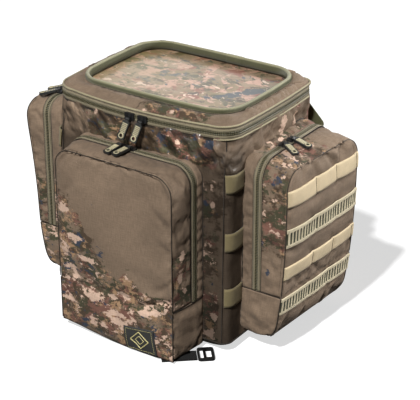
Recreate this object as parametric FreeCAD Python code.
"""Tackle backpack: a free-standing rucksack with a zipped box lid that carries a rimmed work
surface, a zipped front pocket and a zipped pocket on each side.
Millimetres, +Z up.  Origin on the ground under the centre of the main compartment.
-Y is the front, +Y the harness side, and +X the right side seen from the front."""
import FreeCAD, Part
import math
import os

# ---------------------------------------------------------------- shared dimensions
BODY_HALF_W = 133.0     # main compartment, half width
BODY_HALF_D = 97.5      # and half depth
CORNER_R_TOP = 28.0     # plan radius of its front corners at the lid
CORNER_R_LOW = 12.0     # and up to FLARE_Z
CORNER_R_BACK = 14.0    # plan radius of the rear corners
LEAN_X = 4.0            # lean of the filled pack to +X at the lid
BASE_TOP = 14.0         # top of the padded base, where the side walls start
FLARE_Z = 230.0         # above this the walls bow out and the front corners open up
SEAM_Z = 303.75         # height of the lid zip's chain
ZIP_GAP = 1.5           # open line between the two halves of the lid zip
BOW_LOW = 1.5           # bow of the front and side walls at FLARE_Z
BOW_FRONT = 10.0        # bow of the front wall at the lid zip
BOW_SIDE = 2.5          # and of the side walls
MIN_BOW = 0.05          # keeps a nearly straight side an arc
WALL = 4.0              # padded wall
SKIN = 2.5              # lined pocket panel
FIT_GAP = 0.4           # clearance between neighbouring parts

# pocket zips: distances from the zip line
TAPE_NEAR, TAPE_FAR = 0.6, 3.1
PANEL_EDGE = 3.3
# pocket folds: distances from the fold the cover opens about
FIXED_DROP = 0.6        # foot of the gusset, below the fold
COVER_LIFT = 0.8        # foot of the cover, above it
PAN_DROP = 1.0          # top of the pocket base, below it

os.makedirs("parts", exist_ok=True)


def V(x, y, z):
    return FreeCAD.Vector(x, y, z)


def save(name, shape):
    shape.exportStep("parts/%s.step" % name)


# ---------------------------------------------------------------- shape helpers
def lerp(start, end, t):
    return start + (end - start) * t


def box(x0, x1, y0, y1, z0, z1):
    return Part.makeBox(x1 - x0, y1 - y0, z1 - z0, V(x0, y0, z0))


def loft(wires):
    return Part.makeLoft(wires, True, True)


def prism(wire, height):
    return Part.Face(wire).extrude(V(0, 0, height))


def arc(start, middle, end):
    return Part.Arc(start, middle, end).toShape()


def arc_inset(r):
    """Distance of a corner arc's midpoint from either side of its corner."""
    return r * (1 - math.sqrt(0.5))


def on_side(shape, sign):
    """A shape built on +X, mirrored to -X if sign is negative."""
    return shape if sign > 0 else shape.mirror(V(0, 0, 0), V(1, 0, 0))


def fillet_along(shape, radius, axis="z"):
    """Round the edges that run along the axis."""
    edges = []
    for edge in shape.Edges:
        ends = [getattr(v.Point, axis) for v in (edge.Vertexes[0], edge.Vertexes[1])]
        if abs(ends[0] - ends[1]) > 1:
            edges.append(edge)
    return shape.makeFillet(radius, edges)


def rounded_rect(x0, x1, y0, y1, r, z, bow_front=MIN_BOW, bow_side=MIN_BOW,
                 bow_back=MIN_BOW, rear_r=None):
    """Rounded rectangle at height z, each side an arc with its own bow."""
    q = r if rear_r is None else rear_r
    k, kq = arc_inset(r), arc_inset(q)
    xm, ym = (x0 + x1) / 2, (y0 + y1) / 2
    # each arc ends at the start of the next: alternately its start and its middle
    points = [(x0 + r, y0), (xm, y0 - bow_front),
              (x1 - r, y0), (x1 - k, y0 + k),
              (x1, y0 + r), (x1 + bow_side, ym),
              (x1, y1 - q), (x1 - kq, y1 - kq),
              (x1 - q, y1), (xm, y1 + bow_back),
              (x0 + q, y1), (x0 + kq, y1 - kq),
              (x0, y1 - q), (x0 - bow_side, ym),
              (x0, y0 + r), (x0 + k, y0 + k)]
    points = [V(x, y, z) for x, y in points + points[:1]]
    return Part.Wire([arc(*points[i:i + 3]) for i in range(0, 16, 2)])


def arch(point, u0, u1, z0, z1, r):
    """Arch from u0 to u1 with legs down to z0; point(u, z) places it in its plane."""
    k = arc_inset(r)
    p = [point(u0, z0), point(u0, z1 - r), point(u0 + r, z1),
         point(u1 - r, z1), point(u1, z1 - r), point(u1, z0)]
    return Part.Wire([Part.makeLine(p[0], p[1]),
                      arc(p[1], point(u0 + k, z1 - k), p[2]),
                      Part.makeLine(p[2], p[3]),
                      arc(p[3], point(u1 - k, z1 - k), p[4]),
                      Part.makeLine(p[4], p[5]),
                      Part.makeLine(p[5], p[0])])


def plan_line(z, grow, lean, front_r, bow_front, bow_side):
    """Plan outline of the compartment or its lid, grown outwards by grow."""
    half_w, half_d = BODY_HALF_W + grow, BODY_HALF_D + grow
    return rounded_rect(lean - half_w, lean + half_w, -half_d, half_d, front_r + grow, z,
                        bow_front, bow_side, MIN_BOW, CORNER_R_BACK + grow)


def body_line(z, grow=0.0):
    lean = LEAN_X * min(1.0, max(0.0, (z - BASE_TOP) / (SEAM_Z - BASE_TOP)))
    if z <= FLARE_Z:
        bow_front = bow_side = BOW_LOW * max(0.0, z - BASE_TOP) / (FLARE_Z - BASE_TOP)
        front_r = CORNER_R_LOW
    else:
        t = min(1.0, (z - FLARE_Z) / (SEAM_Z - FLARE_Z))
        bow_front, bow_side = lerp(BOW_LOW, BOW_FRONT, t), lerp(BOW_LOW, BOW_SIDE, t)
        front_r = lerp(CORNER_R_LOW, CORNER_R_TOP, t)
    return plan_line(z, grow, lean, front_r, bow_front + MIN_BOW, bow_side + MIN_BOW)


def body_solid(grow, z0, z1):
    """Solid inside the compartment's outline grown by grow, from z0 to z1."""
    stations = [z for z in (BASE_TOP, FLARE_Z, SEAM_Z) if z0 + 0.2 < z < z1 - 0.2]
    return loft([body_line(z, grow) for z in [z0] + stations + [z1]])


BODY_CLEARANCE = body_solid(FIT_GAP, 5.0, 302.0)   # cut from what meets the body

# ---------------------------------------------------------------- main compartment
FLOOR_Z = BASE_TOP + 4.0       # where the liner, frame sheet and divider start
LINER_T = 1.2
DIVIDER_TOP = 190
NOTCH_Z = 175                  # floor of the notch in the divider's top edge
TAPE_OUT, TAPE_IN = 1.5, 0.2   # lid zip tapes: faces outside the wall
TAPE_H = 6.5                   # lid zip's upper tape
LOWER_TAPE_DROP = 7.5          # foot of its lower tape, below the seam
LOOP_X0, LOOP_X1 = 118, 150    # webbing loops around the front corners
LOOP_Y0, LOOP_Y1 = -94.5, -68.5
LOOPS_Z = [(68.0, 94.0), (147.0, 172.0), (227.0, 251.0)]
# boxes as x0, x1, y0, y1, z0, z1
LINER_BACK_OPENING = (-60, 60, 85, 99, 0, 400)
FRAME_SHEET = (-58, 58, 89.6, 91.4, FLOOR_Z, 292)
DIVIDER = (-124, 124, -1.5, 1.5, FLOOR_Z, DIVIDER_TOP)
BEHIND_ZIP = (-300, 300, 84, 140, 0, 400)   # the lid zip stops short of the rear

save("main_compartment", body_solid(0, BASE_TOP, SEAM_Z - ZIP_GAP / 2).cut(
    body_solid(-WALL, BASE_TOP - 2, SEAM_Z + 2)))
liner = body_solid(-WALL - FIT_GAP, FLOOR_Z, SEAM_Z - 4).cut(
    body_solid(-WALL - FIT_GAP - LINER_T, BASE_TOP + 2.0, SEAM_Z))
save("inner_liner", liner.cut(box(*LINER_BACK_OPENING)))
# padded base, widening upwards from its footprint
save("base_panel", loft([
    rounded_rect(-114, 114, -84, 86, 22, 0.0),
    rounded_rect(-127, 127, -92, 93, 18, 6.0),
    rounded_rect(-BODY_HALF_W, BODY_HALF_W, -BODY_HALF_D, BODY_HALF_D, CORNER_R_LOW,
                 BASE_TOP - 0.3, rear_r=CORNER_R_BACK)]))
save("base_board", prism(rounded_rect(-124, 124, -88, 88, 22, BASE_TOP + 0.2), 3.0))
save("frame_sheet", box(*FRAME_SHEET))
save("compartment_divider", box(*DIVIDER).cut(
    prism(rounded_rect(-70, 70, -20, 20, 12, NOTCH_Z), 40)))
lower_tape = body_solid(TAPE_OUT, SEAM_Z - LOWER_TAPE_DROP, SEAM_Z - ZIP_GAP / 2).cut(
    body_solid(TAPE_IN, SEAM_Z - 9, SEAM_Z + 2))
save("main_zip_tape", lower_tape.cut(box(*BEHIND_ZIP)))

# webbing loops on the upright front corners, three a side
WEB_T = 1.7
loop_band = body_solid(FIT_GAP + WEB_T, 50, 290).cut(body_solid(FIT_GAP, 40, 295))
loops = []
for z0, z1 in LOOPS_Z:
    for x0, x1 in ((LOOP_X0, LOOP_X1), (-LOOP_X1, -LOOP_X0)):
        loops += loop_band.common(box(x0, x1, LOOP_Y0, LOOP_Y1, z0, z1)).Solids
save("corner_loops", Part.makeCompound(loops))

# ---------------------------------------------------------------- lid
LID_Z0 = SEAM_Z + ZIP_GAP / 2
LID_BAND_TOP = 312.0    # top of the lid's upright band
LID_CROWN_Z = 316.6     # where its sloping top meets the rim
LID_T = 3.0             # inset of the lid's inner surface
RIM_HALF_W = 119.0      # rim, outside
RIM_Y0, RIM_Y1 = -79.0, 95.0
RIM_R = 40.0
RIM_T = 6.0
RIM_Z0, RIM_TOP = 316.9, 323.6
TONGUE_T = 2.1          # thin wall that hangs from the rim's inner edge
TONGUE_TOP = 317.5
TRAY_TOP = 312.6        # top of the recessed work surface
TRAY_T = 2.8


def lid_line(z, grow=0.0):
    return plan_line(z, grow, LEAN_X, CORNER_R_TOP, BOW_FRONT, BOW_SIDE)


def rim_line(z, grow=0.0):
    half_w = RIM_HALF_W + grow
    return rounded_rect(LEAN_X - half_w, LEAN_X + half_w, RIM_Y0 - grow, RIM_Y1 + grow,
                        RIM_R + grow, z, bow_front=2.0, bow_side=1.5, bow_back=0.5)


lid_outer = loft([lid_line(LID_Z0), lid_line(LID_BAND_TOP), rim_line(LID_CROWN_Z, 2.0)])
lid_inner = loft([lid_line(LID_Z0 - 1, -LID_T), lid_line(LID_BAND_TOP - 2.6, -LID_T),
                  rim_line(314.0, 1.0)])
lid_hole = prism(rim_line(300, -RIM_T + 2.4), 30)
save("lid_cover", lid_outer.cut(lid_inner).cut(lid_hole))
upper_tape = loft([lid_line(LID_Z0, TAPE_OUT), lid_line(LID_Z0 + TAPE_H, TAPE_OUT)]).cut(
    loft([lid_line(LID_Z0 - 1, TAPE_IN), lid_line(LID_Z0 + 8, TAPE_IN)]))
save("lid_zip_tape", upper_tape.cut(box(*BEHIND_ZIP)))

rim = prism(rim_line(RIM_Z0), RIM_TOP - RIM_Z0).cut(prism(rim_line(310, -RIM_T), 20))
tongue_z0 = TRAY_TOP - 2.0
tongue = prism(rim_line(tongue_z0, -RIM_T + TONGUE_T), TONGUE_TOP - tongue_z0).cut(
    prism(rim_line(305, -RIM_T), 20))
save("lid_rim", rim.fuse(tongue).removeSplitter())
save("work_surface", prism(rim_line(TRAY_TOP - TRAY_T, -RIM_T - FIT_GAP), TRAY_T))
save("lid_board", prism(rounded_rect(-112, 120, -84, 88, 26, 306.0), 3.0))
save("lid_mesh_pocket", prism(rounded_rect(-100, 100, -66, 62, 12, 302.6), 2.6))

# ---------------------------------------------------------------- front pocket
FRONT_CX = 2.0
FRONT_FACE_Y = -154.5
FRONT_BODY_Y = -98.0           # where the gusset meets the body
FRONT_HALF_W = (88.0, 95.0)    # at the face, at the body
FRONT_TOP = (256.5, 261.0)     # at the face, at the body
FRONT_R = 24.0                 # upper corners
FRONT_Z0 = 3.0
FRONT_FOLD = 75.0
FRONT_ZIP_Y = -114.0           # zip line in the gusset
BADGE = (21.0, 66.0, FRONT_FACE_Y - 1.0, FRONT_FACE_Y - 0.2, 4.0, 41.0)


def front_at(sizes, y):
    """Size at depth y, from its (face, body) pair."""
    return lerp(*sizes, (y - FRONT_FACE_Y) / (FRONT_BODY_Y - FRONT_FACE_Y))


def front_arch(y, z0, inset=0.0):
    half_w = front_at(FRONT_HALF_W, y) - inset
    return arch(lambda x, z: V(x, y, z), FRONT_CX - half_w, FRONT_CX + half_w, z0,
                front_at(FRONT_TOP, y) - inset, FRONT_R - inset)


def front_strip(y0, y1, z0, closed=False):
    """Arched gusset strip from y0 (front) to y1; closed adds the face panel."""
    outer = loft([front_arch(y0, z0), front_arch(y1, z0)])
    inner_y0 = y0 + SKIN if closed else y0 - 0.5
    inner = loft([front_arch(y, z0 - 5, SKIN) for y in (inner_y0, y1 + 0.5)])
    return outer.cut(inner)


def front_pan_line(y, z0, z1, inset=0.0):
    """Upright rectangle across the pocket at depth y."""
    half_w = front_at(FRONT_HALF_W, y) - inset
    x0, x1 = FRONT_CX - half_w, FRONT_CX + half_w
    return Part.makePolygon([V(x0, y, z0), V(x1, y, z0), V(x1, y, z1), V(x0, y, z1),
                             V(x0, y, z0)])


front_fixed_z = FRONT_FOLD - FIXED_DROP
front_cover_z = FRONT_FOLD + COVER_LIFT
save("front_pocket_gusset",
     front_strip(FRONT_ZIP_Y + PANEL_EDGE, -92.0, front_fixed_z).cut(BODY_CLEARANCE))
save("front_zip_inner",
     front_strip(FRONT_ZIP_Y + TAPE_NEAR, FRONT_ZIP_Y + TAPE_FAR, front_fixed_z))
save("front_zip_outer",
     front_strip(FRONT_ZIP_Y - TAPE_FAR, FRONT_ZIP_Y - TAPE_NEAR, front_cover_z))
save("front_pocket_cover",
     front_strip(FRONT_FACE_Y, FRONT_ZIP_Y - PANEL_EDGE, front_cover_z, closed=True))

# open-topped pan below the fold
front_pan = loft([front_pan_line(y, FRONT_Z0, FRONT_FOLD - PAN_DROP)
                  for y in (FRONT_FACE_Y, -60.0)])
front_hollow = loft([front_pan_line(y, FRONT_Z0 + SKIN, 100, SKIN)
                     for y in (FRONT_FACE_Y + SKIN, -50.0)])
# the second clearance is lowered to reach below the first one's foot
low_clearance = body_solid(FIT_GAP, BASE_TOP, 90).translated(V(0, 0, -20))
save("front_pocket_base", front_pan.cut(front_hollow).cut(BODY_CLEARANCE).cut(low_clearance))
save("badge_patch", box(*BADGE))

# ---------------------------------------------------------------- side pockets
SIDE_Y0, SIDE_Y1 = -66.0, 92.0
SIDE_MID_Y = (SIDE_Y0 + SIDE_Y1) / 2
SIDE_HALF_D = (SIDE_Y1 - SIDE_Y0) / 2
SIDE_Z0 = 24.0
SIDE_FOLD = 87.0
SIDE_TOP_X = 205.0     # where top_out is measured
FACE_REACH = 133.0     # the face solid runs this far either side of SIDE_MID_Y
FACE_INNER_X = 90
STRAP_GAP = 0.3        # webbing stands off the face
STRAPS_Z = [(212.0, 234.0), (111.0, 131.0)]
LADDER_STRAP_Z = (158.0, 183.0)
LOW_STRAP_Z = (61.0, 85.0)

# top_in and top_out: height of the top at the body and at SIDE_TOP_X
# skew: how far the face moves out at the rear, and in at the front
# face: (x, z) points up the outer face; both pockets are described on +X
SIDES = {
    "right": dict(sign=1, top_in=269.0, top_out=255.0, zip_x=157.0, corner_r=26.0, skew=4.5,
                  face=[(178.0, 22.0), (187.0, 33.0), (193.0, 52.0), (197.5, 87.0),
                        (200.5, 125.0), (202.5, 170.0), (203.0, 212.0), (202.5, 240.0),
                        (200.0, 258.0), (192.0, 285.0)]),
    "left": dict(sign=-1, top_in=279.0, top_out=262.0, zip_x=172.0, corner_r=20.0, skew=0.0,
                 face=[(166.0, 19.0), (178.0, 30.0), (187.5, 52.0), (192.5, 87.0),
                       (194.5, 125.0), (198.0, 170.0), (203.0, 212.0), (206.0, 243.0),
                       (204.0, 262.0), (196.0, 290.0)]),
}


def face_solid(side, grow):
    """Everything inboard of the pocket's outer face, grown by grow along X."""
    wires = []
    for y in (SIDE_MID_Y - FACE_REACH, SIDE_MID_Y + FACE_REACH):
        shift = grow + side["skew"] * (y - SIDE_MID_Y) / SIDE_HALF_D
        points = [V(x + shift, y, z) for x, z in side["face"]]
        curve = Part.BSplineCurve()
        curve.interpolate(points)
        bottom, top = points[0], points[-1]
        inner_top, inner_bottom = V(FACE_INNER_X, y, top.z), V(FACE_INNER_X, y, bottom.z)
        wires.append(Part.Wire([curve.toShape(), Part.makeLine(top, inner_top),
                                Part.makeLine(inner_top, inner_bottom),
                                Part.makeLine(inner_bottom, bottom)]))
    return loft(wires)


def side_top(side, x):
    return lerp(side["top_in"], side["top_out"],
                (x - BODY_HALF_W) / (SIDE_TOP_X - BODY_HALF_W))


def side_arch(side, x, z0, inset=0.0):
    return arch(lambda y, z: V(x, y, z), SIDE_Y0 + inset, SIDE_Y1 - inset, z0,
                side_top(side, x) - inset, side["corner_r"] - inset)


def side_strip(side, x0, x1, z0, closed=False):
    """Arched gusset strip from x0 out to x1; closed ends it in the face panel."""
    outer = loft([side_arch(side, x, z0) for x in (x0, x1)])
    inner = loft([side_arch(side, x, z0 - 5, SKIN) for x in (x0 - 0.5, x1 + 0.5)])
    if closed:
        outer = outer.common(face_solid(side, 0))
        inner = inner.common(face_solid(side, -SKIN))
    return outer.cut(inner)


def side_pan(side):
    """Open-topped pan below the fold."""
    pan = prism(rounded_rect(60, 216, SIDE_Y0, SIDE_Y1, 6, SIDE_Z0),
                SIDE_FOLD - PAN_DROP - SIDE_Z0).common(face_solid(side, 0))
    hollow = prism(rounded_rect(50, 216, SIDE_Y0 + SKIN, SIDE_Y1 - SKIN, 5, SIDE_Z0 + SKIN),
                   100).common(face_solid(side, -SKIN))
    return pan.cut(hollow).cut(BODY_CLEARANCE)


def side_strap(side, z0, z1):
    """Webbing band across the outer face, on its own side of the pack."""
    band = face_solid(side, STRAP_GAP + WEB_T).cut(face_solid(side, STRAP_GAP))
    band = band.common(box(150, 230, SIDE_Y0 + 2, SIDE_Y1 - 2, z0, z1))
    return on_side(band, side["sign"])


low_straps = []
for label, side in SIDES.items():
    zip_x = side["zip_x"]
    fixed_z, cover_z = SIDE_FOLD - FIXED_DROP, SIDE_FOLD + COVER_LIFT
    pieces = {
        "pocket_gusset": side_strip(side, 118.0, zip_x - PANEL_EDGE, fixed_z).cut(
            BODY_CLEARANCE),
        "zip_inner": side_strip(side, zip_x - TAPE_FAR, zip_x - TAPE_NEAR, fixed_z),
        "zip_outer": side_strip(side, zip_x + TAPE_NEAR, zip_x + TAPE_FAR, cover_z),
        "pocket_cover": side_strip(side, zip_x + PANEL_EDGE, 219.0, cover_z, closed=True),
        "pocket_base": side_pan(side),
    }
    for piece, shape in pieces.items():
        save(label + "_" + piece, on_side(shape, side["sign"]))
    straps = []
    for span in STRAPS_Z:
        straps += side_strap(side, *span).Solids
    save(label + "_webbing", Part.makeCompound(straps))
    save(label + "_ladder_web", side_strap(side, *LADDER_STRAP_Z))
    low_straps += side_strap(side, *LOW_STRAP_Z).Solids
save("lower_ladder_webs", Part.makeCompound(low_straps))

# ---------------------------------------------------------------- zip sliders and pulls
# Built in a local frame: x = pull direction, y = pivot pin, z = surface normal.
PIN_X, PIN_Z = 2.7, 5.2
PIN_R, EYE_R = 0.80, 0.88
EYE_OUTER_R, EYE_HALF_W = 1.75, 2.7
PULL_L, PULL_W, PULL_T = 27.0, 10.0, 3.0
PULL_Z0 = 3.7
SLIDER_LIFT = 0.6      # pocket sliders stand off the gusset
LID_PULL_LIFT = 20.0   # degrees the lid pulls stand out
LID_SLIDER_Y = -BODY_HALF_D - BOW_FRONT - 2.4


def place(shape, origin, x_dir, normal):
    y_dir = normal.cross(x_dir)
    return shape.transformed(FreeCAD.Matrix(
        x_dir.x, y_dir.x, normal.x, origin.x,
        x_dir.y, y_dir.y, normal.y, origin.y,
        x_dir.z, y_dir.z, normal.z, origin.z,
        0, 0, 0, 1))


def slider(origin, zip_dir, pull_dir, normal):
    """Body laid along the zip, with its two lugs and pin turned towards the pull."""
    body = fillet_along(box(-6.5, 6.5, -4.3, 4.3, 0.0, 3.0), 1.0)
    body = place(body, origin, zip_dir, normal)
    bridge = box(-3.4, 2.0, -1.6, 1.6, 2.5, 3.4)
    for y in (-4.0, 3.0):
        bridge = bridge.fuse(box(PIN_X - 1.5, PIN_X + 1.5, y, y + 1.0, 2.5, 6.6))
        bridge = bridge.fuse(box(-1.0, PIN_X + 1.5, y, y + 1.0, 2.5, 3.4))
    pin = Part.makeCylinder(PIN_R, 7.0, V(PIN_X, -3.5, PIN_Z), V(0, 1, 0))
    bridge = bridge.fuse(pin)
    return body.fuse(place(bridge, origin, pull_dir, normal)).removeSplitter()


def pull():
    """Rounded tab with a hole near its end, hung from the pin by an eye."""
    eye = Part.makeCylinder(EYE_OUTER_R, 2 * EYE_HALF_W, V(PIN_X, -EYE_HALF_W, PIN_Z),
                            V(0, 1, 0))
    neck = box(PIN_X, 6.4, -EYE_HALF_W, EYE_HALF_W, 4.3, 6.1)
    end_x = PIN_X + PULL_L
    tab = fillet_along(box(5.4, end_x, -PULL_W / 2, PULL_W / 2, PULL_Z0, PULL_Z0 + PULL_T),
                       2.2)
    tab = tab.cut(Part.makeCylinder(1.8, 10, V(end_x - 5.0, 0, 0), V(0, 0, 1)))
    body = eye.fuse(neck).fuse(tab)
    pin_hole = Part.makeCylinder(EYE_R, 10, V(PIN_X, -5, PIN_Z), V(0, 1, 0))
    return body.cut(pin_hole).removeSplitter()


def turned(a, b, degrees):
    """Direction a turned towards the direction b at right angles to it."""
    return a * math.cos(math.radians(degrees)) + b * math.sin(math.radians(degrees))


def save_slider(name, origin, zip_dir, pull_dir, normal, lift=0.0):
    save(name + "_slider", slider(origin, zip_dir, pull_dir, normal))
    tab = place(pull(), origin, pull_dir, normal)
    if lift:
        tab.rotate(origin + pull_dir * PIN_X + normal * PIN_Z, pull_dir.cross(normal), lift)
    save(name + "_pull", tab)


for name, x in (("lid_left", -1.0), ("lid_right", 18.0)):
    save_slider(name, V(x, LID_SLIDER_Y, SEAM_Z), V(1, 0, 0),
                turned(V(0, 0, -1), V(-1, 0, 0), 12.0), V(0, -1, 0), LID_PULL_LIFT)

slope = math.atan2(FRONT_TOP[1] - FRONT_TOP[0], FRONT_BODY_Y - FRONT_FACE_Y)
normal = V(0, -math.sin(slope), math.cos(slope))
forward = V(0, -math.cos(slope), -math.sin(slope))
# name, x, degrees the pull turns from forward towards -X
for name, x, angle in (("front_left", -12.5, 5.0), ("front_right", 2.5, 11.0)):
    origin = V(x, FRONT_ZIP_Y, front_at(FRONT_TOP, FRONT_ZIP_Y)) + normal * SLIDER_LIFT
    save_slider(name, origin, V(1, 0, 0), turned(forward, V(-1, 0, 0), angle), normal)

# side, end, y, degrees the pull turns from forward to outward
for label, end, y, angle in (("right", "front", -8.0, 62.0), ("right", "rear", 11.0, 83.0),
                             ("left", "front", -33.0, 47.0), ("left", "rear", -15.0, 55.0)):
    side = SIDES[label]
    sign, zip_x = side["sign"], side["zip_x"]
    slope = math.atan2(side["top_in"] - side["top_out"], SIDE_TOP_X - BODY_HALF_W)
    normal = V(sign * math.sin(slope), 0, math.cos(slope))
    outward = V(sign * math.cos(slope), 0, -math.sin(slope))
    origin = V(sign * zip_x, y, side_top(side, zip_x)) + normal * SLIDER_LIFT
    save_slider(label + "_" + end, origin, V(0, 1, 0),
                turned(V(0, -1, 0), outward, angle), normal)

# ---------------------------------------------------------------- harness side
SPLAY = 9.0            # degrees the shoulder straps spread towards their feet
STRAP_TOP_Z = 276
STRAP_X, STRAP_W = 68, 56
STRAP_T = 11.0
STRAP_END_Y = 112.0
LOCK_X, LOCK_Z = 97.5, 84.0   # ladder lock at the foot of the shoulder strap
WEB = 25.0
LOWER_WEB_X = 88.5
LIFTER_RUN = 61.0      # length of the load lifter to its turned end
HANDLE_Y, HANDLE_TOP, HANDLE_T = 114.0, 281.0, 2.8


def splay(shape, x, z):
    shape.rotate(V(x, 0, z), V(0, 1, 0), -SPLAY)


def shoulder_strap():
    """Bowed pad that leaves the top of the back and returns near the base."""
    def bow(out):
        return arc(V(0, STRAP_END_Y, STRAP_TOP_Z + out * 0.2), V(0, 138.0 + out, 184.0),
                   V(0, STRAP_END_Y, LOCK_Z + 8 - out * 0.2))
    inner, outer = bow(0.0), bow(STRAP_T)
    inner_top, inner_foot = inner.Vertexes[0].Point, inner.Vertexes[-1].Point
    outer_top, outer_foot = outer.Vertexes[0].Point, outer.Vertexes[-1].Point
    profile = Part.Wire([inner, Part.makeLine(inner_foot, outer_foot),
                         outer, Part.makeLine(outer_top, inner_top)])
    strap = Part.Face(profile).extrude(V(STRAP_W, 0, 0))
    strap.translate(V(STRAP_X - STRAP_W / 2, 0, 0))
    splay(strap, STRAP_X, STRAP_TOP_Z)
    return strap


def ladder_lock():
    """Three-bar buckle at the foot of the shoulder strap."""
    lock = fillet_along(box(-16, 16, 0, 4.0, -24, 0), 3.0, "y")
    lock = lock.cut(box(-12.8, 12.8, -1, 5, -8.0, -3.4))
    lock = lock.cut(box(-12.8, 12.8, -1, 5, -19.6, -11.6))
    lock.translate(V(LOCK_X, 111.4, LOCK_Z + 4.5))
    splay(lock, LOCK_X, LOCK_Z + 4.5)
    return lock


def lower_web():
    """Webbing from the foot of the back panel up towards the ladder lock."""
    web = box(LOWER_WEB_X, LOWER_WEB_X + WEB, BODY_HALF_D + 13.6, BODY_HALF_D + 15.2,
              30.0, 62.0)
    splay(web, LOWER_WEB_X + WEB / 2, 61)
    return web


def load_lifter(sign):
    """Webbing slanting out and down behind the rear corner, its end turned forward."""
    lifter = box(12.0, LIFTER_RUN, 111.4, 113.1, -10.0, 10.0).fuse(
        box(LIFTER_RUN - WEB_T, LIFTER_RUN, 93.4, 113.1, -10.0, 10.0)).removeSplitter()
    lifter.rotate(V(0, 0, 0), V(0, 1, 0), 45.0)
    lifter.translate(V(98.0, 0, 285.5))
    # the leaning body is mirrored to meet a lifter that is still on +X
    lifter = lifter.cut(on_side(body_solid(0.5, 230, 300), sign))
    return on_side(lifter, sign)


save("back_panel",
     prism(rounded_rect(-112, 112, BODY_HALF_D + 0.5, BODY_HALF_D + 12.5, 5.5, 26.0), 261.5))
harness_webs = []
for label, sign in (("right", 1), ("left", -1)):
    save(label + "_shoulder_strap", on_side(shoulder_strap(), sign))
    save(label + "_ladder_lock", on_side(ladder_lock(), sign))
    harness_webs.append(on_side(lower_web(), sign))
harness_webs += [load_lifter(1), load_lifter(-1)]
save("harness_webbing", Part.makeCompound([s for web in harness_webs for s in web.Solids]))


def handle_box(half_w, z0, z1, half_t=HANDLE_T / 2):
    return box(-half_w, half_w, HANDLE_Y - half_t, HANDLE_Y + half_t, z0, z1)


# haul handle: a flat webbing loop behind the top of the back
handle = handle_box(30, 240, HANDLE_TOP).cut(handle_box(18, 254, HANDLE_TOP + 1, half_t=14))
save("haul_handle", handle.fuse(handle_box(30, HANDLE_TOP - 4, HANDLE_TOP)).removeSplitter())

# ---------------------------------------------------------------- accessory strap
# Lies on the ground by the front pocket's +X corner, with its buckle at the outer end.
strap = box(-46.0, 0.0, -11.0, 11.0, 0.5, 2.1)
buckle = fillet_along(box(0.6, 22.0, -14.0, 14.0, 0.5, 4.3), 4.0)
buckle = buckle.cut(box(3.4, 8.2, -11.5, 11.5, 0, 10)).cut(box(11.2, 18.6, -10.0, 10.0, 0, 10))
for name, shape in (("accessory_strap", strap), ("accessory_buckle", buckle)):
    shape.rotate(V(0, 0, 0), V(0, 0, 1), 40.0)
    shape.translate(V(103.5, -120.5, 0))
    save(name, shape)
